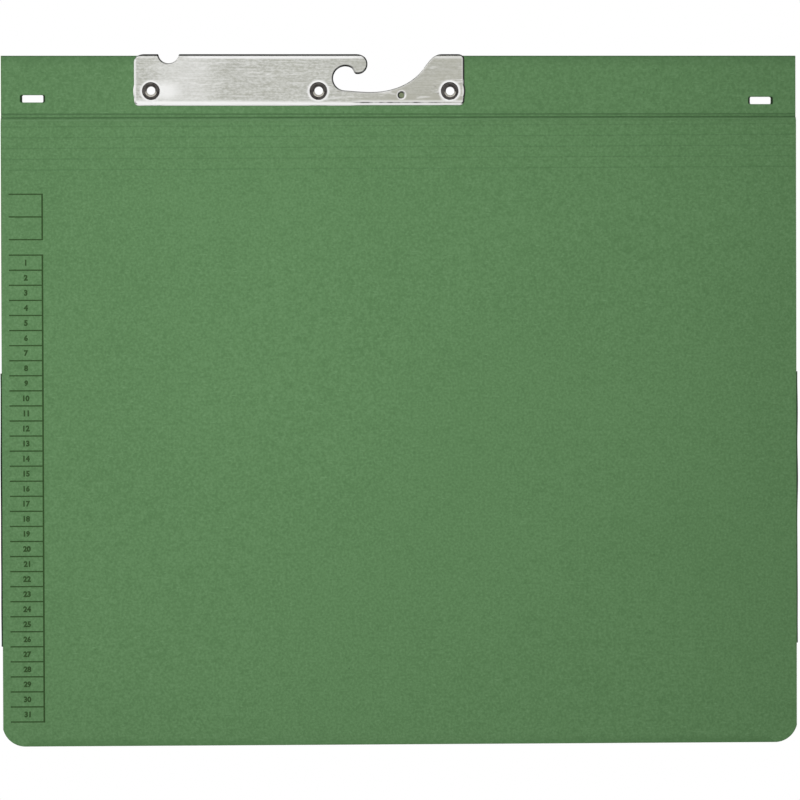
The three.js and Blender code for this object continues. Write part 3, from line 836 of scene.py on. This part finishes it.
facing = outward(rail_edges)[rail_nearest]
facing_down = facing[:, 1] * np.sign(rail_flat[:, 1])
darker_share = 0.75 + 0.3 * near(rail_level - rail_edge, *darker_foot)
rail_shares = {
    "painted_highlight": rubbed_white(rail_x, rail_level, rail_gap),
    "painted_shade": soiled_rim(rail_x, rail_level, facing[:, 0], facing_down, rail_gap),
    "darker_right": darker_share * (1 - near(rail_x, *darker_between)),
}
rail_outer += inward * np.minimum(sunk, 0.8 * rail_sheet)[:, None]
for face in (rail_outer, rail_inner):
    face[:, 2] += crown_raised * eased((face[:, 2] - rail_section.bend_level) / rail_face)
    lowered = foot_lowered * near(face[:, 0], *foot_line_starts)
    face[:, 2] -= lowered * near(face[:, 2] - rail_edge, 0, form_reach)
    face[:, 0] += end_drawn * near(rail_box[1].x - face[:, 0], 0, form_reach)

aluminium = brushed_aluminium()
rail_mesh = sheet_mesh("hanger_rail_sheet", rail_outer, rail_inner, rail_faces, rail_shares)
hanger_rail = placed("hanger_rail_sheet", rail_mesh, aluminium, aluminium, sheared_edge())
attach(hanger_rail, "hanger")
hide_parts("hanger_rail")

# Hollow rivets
# Three hollow steel rivets go through the rail and both plies of the strip. The head lies in front
# and runs into the bore like a trumpet, and the end is rolled over behind.

rivet_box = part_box("rivet_left")
head_sunk = 0.1 * mm  # the front of the head lies this much behind the CAD node's
rivet_sizes = {
    "Bore radius": 1.7 * mm,
    "Bore off centre": 0.2 * mm,
    "Head radius": 3.56 * mm,
    "Front": rivet_box[0].y + head_sunk,
    "Back": rivet_box[1].y,
    "First turn": -1.4,
    "Turn between": 0.7,
}
# Once round the rivet's wall from the middle of its bore: way, share of the head's width outside
# the bore, share of the rivet's length from its back.
rivet_wall = [
    (0.00, 0.00, 0.50),
    (0.08, 0.01, 0.74),
    (0.13, 0.10, 0.88),
    (0.18, 0.28, 0.965),
    (0.23, 0.52, 1.00),
    (0.28, 0.80, 0.98),
    (0.32, 0.97, 0.925),
    (0.35, 0.99, 0.87),
    (0.38, 0.90, 0.84),
    (0.45, 0.20, 0.83),
    (0.52, 0.19, 0.50),
    (0.60, 0.20, 0.14),
    (0.66, 0.62, 0.13),
    (0.70, 0.70, 0.08),
    (0.76, 0.55, 0.01),
    (0.82, 0.28, 0.03),
    (0.90, 0.02, 0.18),
    (1.00, 0.00, 0.50),
]
rivet_black = (0.040, 0.036, 0.034, 1)
rivet_grey = (0.135, 0.125, 0.118, 1)
rivet_lip_highlight = (0.56, 0.53, 0.47, 1)
throat_edge = (0.75, 0.5)  # shares of the head's width outside the bore, where the painted highlight may show


def nodes_tree(name, inputs):
    """An empty Geometry Nodes tree with these named inputs and their first values."""
    tree = bpy.data.node_groups.new(name, "GeometryNodeTree")
    tree.interface.new_socket("Geometry", in_out="OUTPUT", socket_type="NodeSocketGeometry")
    tree.interface.new_socket("Geometry", in_out="INPUT", socket_type="NodeSocketGeometry")
    for label, value in inputs.items():
        kind = "Material" if isinstance(value, bpy.types.Material) else type(value).__name__.title()
        socket = tree.interface.new_socket(label, in_out="INPUT", socket_type="NodeSocket" + kind)
        socket.default_value = value
    return tree


def step(tree, kind, sockets=None, **settings):
    """Adds a node that only Geometry Nodes has."""
    return add_node(tree, "GeometryNode" + kind, sockets, settings)


def vector(tree, **axes):
    return shader(tree, "CombineXYZ", axes)


def grown(tree, geometry, material):
    """The end of a tree: its instances as one mesh, in one material."""
    real = step(tree, "RealizeInstances", {0: geometry})
    dressed = step(tree, "SetMaterial", {"Geometry": real, "Material": material})
    add_node(tree, "NodeGroupOutput", {0: dressed}, {})


def grown_mesh(name, tree, seeds, values):
    """Runs the tree on a mesh of single points, and gives back a plain mesh."""
    points = bpy.data.meshes.new(name + "_points")
    points.from_pydata([tuple(seed) for seed in seeds], [], [])
    maker = linked(name + "_maker", points)
    modifier = maker.modifiers.new("maker", "NODES")
    modifier.node_group = tree
    for socket in tree.interface.items_tree:
        if socket.in_out == "INPUT" and socket.name in values:
            modifier[socket.identifier] = values[socket.name]
    ready = maker.evaluated_get(bpy.context.evaluated_depsgraph_get())
    mesh = bpy.data.meshes.new_from_object(ready)
    mesh.name = name
    maker.modifiers.clear()
    bpy.data.objects.remove(maker)
    solid = welded(mesh, 1e-7)
    bmesh.ops.recalc_face_normals(solid, faces=solid.faces)
    solid.to_mesh(mesh)
    solid.free()
    return mesh


def curve_of(tree, share, knots):
    """A smooth curve through the knots."""
    made = shader(tree, "FloatCurve", {"Value": share})
    line = made.mapping.curves[0]
    while len(line.points) < len(knots):
        line.points.new(0.5, 0.5)
    for point, (way, height) in zip(line.points, knots):
        point.location = (way, height)
        point.handle_type = "AUTO_CLAMPED"
    made.mapping.update()
    return made.outputs[0]


def rivet_tree(sizes):
    """A grid rolled up into a turned rivet, one at every point."""
    tree = nodes_tree("turned rivet", sizes)
    given = add_node(tree, "NodeGroupInput", {}, {}).outputs
    grid = step(tree, "MeshGrid", {"Size X": 1, "Size Y": 1, "Vertices X": 49, "Vertices Y": 81})
    place = step(tree, "InputPosition").outputs[0]
    apart = shader(tree, "SeparateXYZ", {0: place}).outputs
    around = times(tree, calculate(tree, "ADD", apart["X"], 0.5), 2 * math.pi)
    way = calculate(tree, "ADD", apart["Y"], 0.5)
    out = curve_of(tree, way, [(knot[0], knot[1]) for knot in rivet_wall])
    forward = curve_of(tree, way, [(knot[0], knot[2]) for knot in rivet_wall])
    width = calculate(tree, "SUBTRACT", given["Head radius"], given["Bore radius"])
    length = calculate(tree, "SUBTRACT", given["Front"], given["Back"])
    radius = times(tree, out, width, given["Bore radius"])
    depth = times(tree, forward, length, given["Back"])
    bore = times(tree, calculate(tree, "SUBTRACT", 1, out), given["Bore off centre"])
    across = times(tree, radius, calculate(tree, "COSINE", around), bore)
    up = times(tree, radius, calculate(tree, "SINE", around))
    turned = vector(tree, X=across, Y=depth, Z=up)
    throat = ranged(tree, out, *throat_edge)
    marked = {"Geometry": grid.outputs["Mesh"], "Name": "throat", "Value": throat}
    known = step(tree, "StoreNamedAttribute", marked, data_type="FLOAT", domain="POINT")
    rolled = step(tree, "SetPosition", {"Geometry": known, "Position": turned})
    closed = step(tree, "MergeByDistance", {"Geometry": rolled, "Distance": 1e-6})
    smooth = step(tree, "SetShadeSmooth", {0: closed})
    number = step(tree, "InputIndex").outputs[0]
    turn = times(tree, number, given["Turn between"], given["First turn"])
    where = {"Points": given["Geometry"], "Instance": smooth, "Rotation": vector(tree, Y=turn)}
    grown(tree, step(tree, "InstanceOnPoints", where), given["Finish"])
    return tree


def rivet_steel():
    """Steel that is blackened by its heat treatment, with a painted highlight, pale and hardly metallic,
    where the lower lip of the bore faces up.
    """
    material, tree = material_tree("rivet steel")
    grain = speckle(tree, (500, 500, 500), 4, 0.6)
    normal = shader(tree, "TexCoord").outputs["Normal"]
    facing_up = shader(tree, "SeparateXYZ", {0: normal}).outputs["Z"]
    # painted highlight on the parts of the throat that face up
    lip_highlight = times(tree, stored(tree, "throat"), ranged(tree, facing_up, 0.04, 0.22))
    colour = mixed(tree, ranged(tree, grain, 0.35, 0.75), rivet_black, rivet_grey)
    surface(tree, grain, 0.5, 0.06 * mm, {
        "Base Color": mixed(tree, lip_highlight, colour, rivet_lip_highlight),
        "Metallic": ranged(tree, lip_highlight, 0, 1, 1, 0.1),
        "Roughness": ranged(tree, grain, 0.3, 0.7, 0.22, 0.4),
    })
    return material


rivet_sizes["Finish"] = rivet_steel()
rivet_seeds = [(place.x, 0, place.z) for place in rivet_places]
rivet_mesh = grown_mesh("hollow_rivets", rivet_tree(rivet_sizes), rivet_seeds, rivet_sizes)
rivet_mesh.shade_smooth()
rivets = placed("hollow_rivets", rivet_mesh)
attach(rivets, "hanger")
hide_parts(*rivet_nodes)

# Printed index
# Two empty boxes and a column for the days of a month, 1 to 31, printed in a darker green along
# the left side of the front cover. The ink lies on the board as a very thin film.

ink_film = 0.012 * mm
ink_lift = 0.004 * mm
index_sizes = {
    "Left": -134.45 * mm,
    "Right": -121.1 * mm,
    "Row line": 0.52 * mm,
    "Side line": 0.66 * mm,
    "Film": ink_film,
    "Face": -cover_face - ink_lift - ink_film / 2,
}
tables = {
    "index_boxes": {"Top": -46.33 * mm, "Pitch": 9.04 * mm, "Rows": 2},
    "index_days": {"Top": -70.6 * mm, "Pitch": 6.017 * mm, "Rows": 31},
}
days = tables["index_days"]
numeral_height = 2.4 * mm
numeral_column = -127.75 * mm
numeral_weight = 0.052
ink_dark = (0.016, 0.044, 0.008, 1)
ink_thin = (0.034, 0.086, 0.020, 1)


def printing_ink():
    material, tree = material_tree("dark green ink")
    spread = speckle(tree, (1600, 1600, 1600), 3, 0.6)
    surface(tree, spread, 0.3, 0.02 * mm, {
        "Base Color": mixed(tree, ranged(tree, spread, 0.35, 0.75), ink_dark, ink_thin),
        "Roughness": ranged(tree, spread, 0, 1, 0.6, 0.85),
        "Specular IOR Level": 0.35,
    })
    return material


def ruled_table_tree(sizes):
    """Lines from left to right at an even pitch, and one line down their right ends."""
    tree = nodes_tree("ruled table", sizes)
    given = add_node(tree, "NodeGroupInput", {}, {}).outputs
    spacing = vector(tree, Z=times(tree, given["Pitch"], -1))
    row_end = times(tree, given["Side line"], -0.5, given["Right"])
    middle = times(tree, calculate(tree, "ADD", given["Left"], row_end), 0.5)
    start = vector(tree, X=middle, Y=given["Face"], Z=given["Top"])
    count = calculate(tree, "ADD", given["Rows"], 1)
    line = {"Count": count, "Start Location": start, "Offset": spacing}
    levels = step(tree, "MeshLine", line, mode="OFFSET")
    width = calculate(tree, "SUBTRACT", row_end, given["Left"])
    row = vector(tree, X=width, Y=given["Film"], Z=given["Row line"])
    stroke = step(tree, "MeshCube", {"Size": row}).outputs["Mesh"]
    rows = step(tree, "InstanceOnPoints", {"Points": levels, "Instance": stroke})
    height = times(tree, given["Rows"], given["Pitch"])
    tall = calculate(tree, "ADD", height, given["Row line"])
    side = vector(tree, X=given["Side line"], Y=given["Film"], Z=tall)
    upright = step(tree, "MeshCube", {"Size": side}).outputs["Mesh"]
    halfway = times(tree, height, -0.5, given["Top"])
    where = vector(tree, X=given["Right"], Y=given["Face"], Z=halfway)
    moved = step(tree, "SetPosition", {"Geometry": upright, "Offset": where})
    both = step(tree, "JoinGeometry")
    for part in (rows, moved):
        tree.links.new(part.outputs[0], both.inputs[0])
    grown(tree, both, given["Ink"])
    return tree


def numeral(value, centre_x, centre_z):
    """One number of the index as a thin film, facing the front."""
    text = bpy.data.curves.new("numeral", "FONT")
    text.body = str(value)
    text.size = 1
    text.offset = numeral_weight
    text.resolution_u = 3
    writer = linked("numeral", text)
    ready = writer.evaluated_get(bpy.context.evaluated_depsgraph_get())
    mesh = bpy.data.meshes.new_from_object(ready)
    bpy.data.objects.remove(writer)
    places = np.array([vert.co for vert in mesh.vertices])
    low, high = places.min(0), places.max(0)
    scale = numeral_height / (high[1] - low[1])
    across = centre_x + (places[:, 0] - (low[0] + high[0]) / 2) * scale
    up = centre_z + (places[:, 1] - (low[1] + high[1]) / 2) * scale
    faces = [tuple(face.vertices) for face in mesh.polygons]
    bpy.data.meshes.remove(mesh)
    return np.column_stack([across, up]), faces


index_ink = printing_ink()
index_sizes["Ink"] = index_ink
table_tree = ruled_table_tree({**index_sizes, **days})
for name, sizes in tables.items():
    table = placed(name, grown_mesh(name, table_tree, [(0, 0, 0)], {**index_sizes, **sizes}))
    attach(table, "front")

numerals = bmesh.new()
for day in range(1, days["Rows"] + 1):
    level = days["Top"] - (day - 0.5) * days["Pitch"]
    outline, faces = numeral(day, numeral_column, level)
    layers = []
    for depth in (-cover_face - ink_lift - ink_film, -cover_face - ink_lift):
        layers.append([numerals.verts.new((x, depth, z)) for x, z in outline])
    for face in faces:
        numerals.faces.new([layers[0][i] for i in face])
        numerals.faces.new([layers[1][i] for i in reversed(face)])
    sides = {(a, b) for face in faces for a, b in zip(face, face[1:] + face[:1])}
    for a, b in sides:
        if (b, a) not in sides:
            numerals.faces.new([layers[0][b], layers[0][a], layers[1][a], layers[1][b]])
bmesh.ops.recalc_face_normals(numerals, faces=numerals.faces)
numeral_mesh = bpy.data.meshes.new("index_numerals")
numerals.to_mesh(numeral_mesh)
numerals.free()
index_numerals = placed("index_numerals", numeral_mesh, index_ink)
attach(index_numerals, "front")

# Pocket gussets
# Two strips of dark book cloth, each folded in four leaves. The outer leaves are glued to the back
# cover and to the pocket's panel, and the folds stand out a millimetre past the covers' sides.

cloth = 0.2 * mm
leaf_pitch = 0.35 * mm
fold_turns = 9
cloth_wander = 0.25 * mm
cloth_air = 0.02 * mm  # between the cloth and what it lies against
cloth_step = 1.5 * mm
cloth_rows = 56
weave_pitch = 0.42 * mm
cloth_dark = (0.0065, 0.0170, 0.0095, 1)
cloth_light = (0.0300, 0.0520, 0.0360, 1)


def book_cloth():
    """Plain weave, starched and dyed dark green: threads over and under each other."""
    material, tree = material_tree("dark green book cloth")
    place = shader(tree, "UVMap", uv_map="cloth").outputs[0]
    apart = shader(tree, "SeparateXYZ", {0: place}).outputs
    turns = [times(tree, apart[axis], math.pi / weave_pitch) for axis in ("X", "Y")]
    across, along = [calculate(tree, "SINE", turn) for turn in turns]
    weave = times(tree, across, along)
    thick = [calculate(tree, "ABSOLUTE", thread) for thread in (across, along)]
    threads = calculate(tree, "ADD", *thick)
    slubs = speckle(tree, (300, 300, 900), 3, 0.6)
    tone = times(tree, weave, 0.25, slubs)
    surface(tree, times(tree, threads, 0.5, weave), 0.6, 0.06 * mm, {
        "Base Color": mixed(tree, ranged(tree, tone, 0.25, 0.85), cloth_dark, cloth_light),
        "Roughness": ranged(tree, slubs, 0.2, 0.8, 0.75, 0.95),
        "Specular IOR Level": 0.25,
        "Sheen Weight": 0.15,
    })
    return material


def gusset_line(side, box):
    """The cloth's middle in plan, from the glued leaf on the back cover to the one on the panel."""
    turn = leaf_pitch / 2
    inset = cloth / 2 + turn + cloth_air
    out = (box[1].x if side > 0 else box[0].x) - side * inset
    into = (box[0].x if side > 0 else box[1].x) + side * inset
    back = box[1].y - cloth / 2 - cloth_air
    angles = np.linspace(math.pi / 2, -math.pi / 2, fold_turns)
    line = [(into - side * turn, back)]
    for n, edge, way in ((0, out, side), (1, into, -side), (2, out, side)):
        centre = back - (n + 0.5) * leaf_pitch
        line += [(edge + way * turn * math.cos(a), centre + turn * math.sin(a)) for a in angles]
    return line + [(into - side * turn, back - 3 * leaf_pitch)]


def spaced(line, step_length):
    """The line with points at most step_length apart, and each point's way along it."""
    points, way = [line[0]], [0.0]
    for start, end in zip(line, line[1:]):
        length = math.dist(start, end)
        pieces = max(1, math.ceil(length / step_length))
        for i in range(1, pieces + 1):
            points.append(tuple(np.array(start) + (np.array(end) - start) * i / pieces))
            way.append(way[-1] + length / pieces)
    return np.array(points), np.array(way)


woven = book_cloth()
for name, side in (("gusset_left", -1), ("gusset_right", 1)):
    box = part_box(name)
    line, way = spaced(gusset_line(side, box), cloth_step)
    levels = np.linspace(box[0].z, box[1].z, cloth_rows)
    reach = line[:, 0] - line[0, 0]
    fold_out = reach / reach[np.abs(reach).argmax()]
    verts = []
    for level in levels:
        wander = cloth_wander * (noise.noise((side * 3.1, 0.5, level * 55)) - 0.5)
        verts += [(x + side * wander * share, y, level) for (x, y), share in zip(line, fold_out)]
    count = len(line)
    grid = np.arange(len(verts)).reshape(len(levels), count)
    quads = np.stack([grid[:-1, :-1], grid[:-1, 1:], grid[1:, 1:], grid[1:, :-1]], -1).reshape(-1, 4)
    quads = quads if side < 0 else quads[:, ::-1]
    mesh = bpy.data.meshes.new(name + "_cloth")
    mesh.from_pydata(verts, [], quads.tolist())
    mesh.shade_smooth()
    layer = mesh.uv_layers.new(name="cloth")
    corner_way = np.tile(way, len(levels))
    corner_level = np.repeat(levels - levels[0], count)
    for loop in mesh.loops:
        layer.data[loop.index].uv = (corner_way[loop.vertex_index], corner_level[loop.vertex_index])
    gusset = placed(name + "_cloth", mesh, woven)
    wall = gusset.modifiers.new("thickness", "SOLIDIFY")
    wall.thickness = cloth
    wall.offset = 0
    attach(gusset, "back")
    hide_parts(name)

# Pocket panel
# The front of the pocket is the same board. It is bent up along its foot, and a glue flap holds it
# on the back cover.

pocket_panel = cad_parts["pocket_panel"]
pocket_panel.data.materials.clear()
pocket_panel.data.materials.append(green_board)

# Paper fastener
# A strip of grey board is glued over a bent steel strip, whose two tongues come up through it.
# The filed sheets go on the tongues, and the channel of the cover bar keeps them folded down.

grey_tones = [(0.42, 0.39, 0.33, 1), (0.32, 0.30, 0.25, 1), (0.55, 0.52, 0.45, 1), (0.22, 0.20, 0.17, 1)]
bar_tones = [(0.36, 0.36, 0.365, 1), (0.24, 0.24, 0.245, 1)]
tongue_tones = [(0.74, 0.72, 0.68, 1), (0.55, 0.53, 0.50, 1)]
broken_edge = 0.06 * mm
sharp_angle = math.radians(35)


def plated_steel(name, bright, dull):
    """Thin strip steel, plated, with the draw lines of the rolling mill."""
    material, tree = material_tree(name)
    lines = speckle(tree, (60, 900, 1300), 3, 0.6)
    blooms = speckle(tree, (150, 150, 150), 2, 0.5)
    surface(tree, lines, 0.3, 0.02 * mm, {
        "Base Color": mixed(tree, ranged(tree, lines, 0.3, 0.7), dull, bright),
        "Metallic": 1,
        "Roughness": ranged(tree, blooms, 0.3, 0.7, 0.24, 0.38),
    })
    return material


def softened(node, material):
    """A copy of a CAD node with its edges broken."""
    copy = welded(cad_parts[node].data, 1e-6)
    flat = [edge for edge in copy.edges if len(edge.link_faces) == 2 and edge.calc_face_angle() < 1e-3]
    bmesh.ops.dissolve_edges(copy, edges=flat, use_verts=True)
    mesh = bpy.data.meshes.new(node + "_formed")
    copy.to_mesh(mesh)
    copy.free()
    mesh.shade_smooth()
    mesh.set_sharp_from_angle(angle=sharp_angle)
    made = placed(node + "_formed", mesh, material)
    bevel = made.modifiers.new("broken edges", "BEVEL")
    bevel.width = broken_edge
    bevel.segments = 2
    bevel.limit_method = "ANGLE"
    bevel.angle_limit = sharp_angle
    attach(made, "back")
    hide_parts(node)
    return made


grey_board = pressed_board("grey board", *grey_tones)
bar_steel = plated_steel("zinc plated steel", *bar_tones)
tongue_steel = plated_steel("tinned steel", *tongue_tones)
softened("fastener_carrier", grey_board)
softened("fastener_tongues", tongue_steel)
softened("fastener_bar", bar_steel)
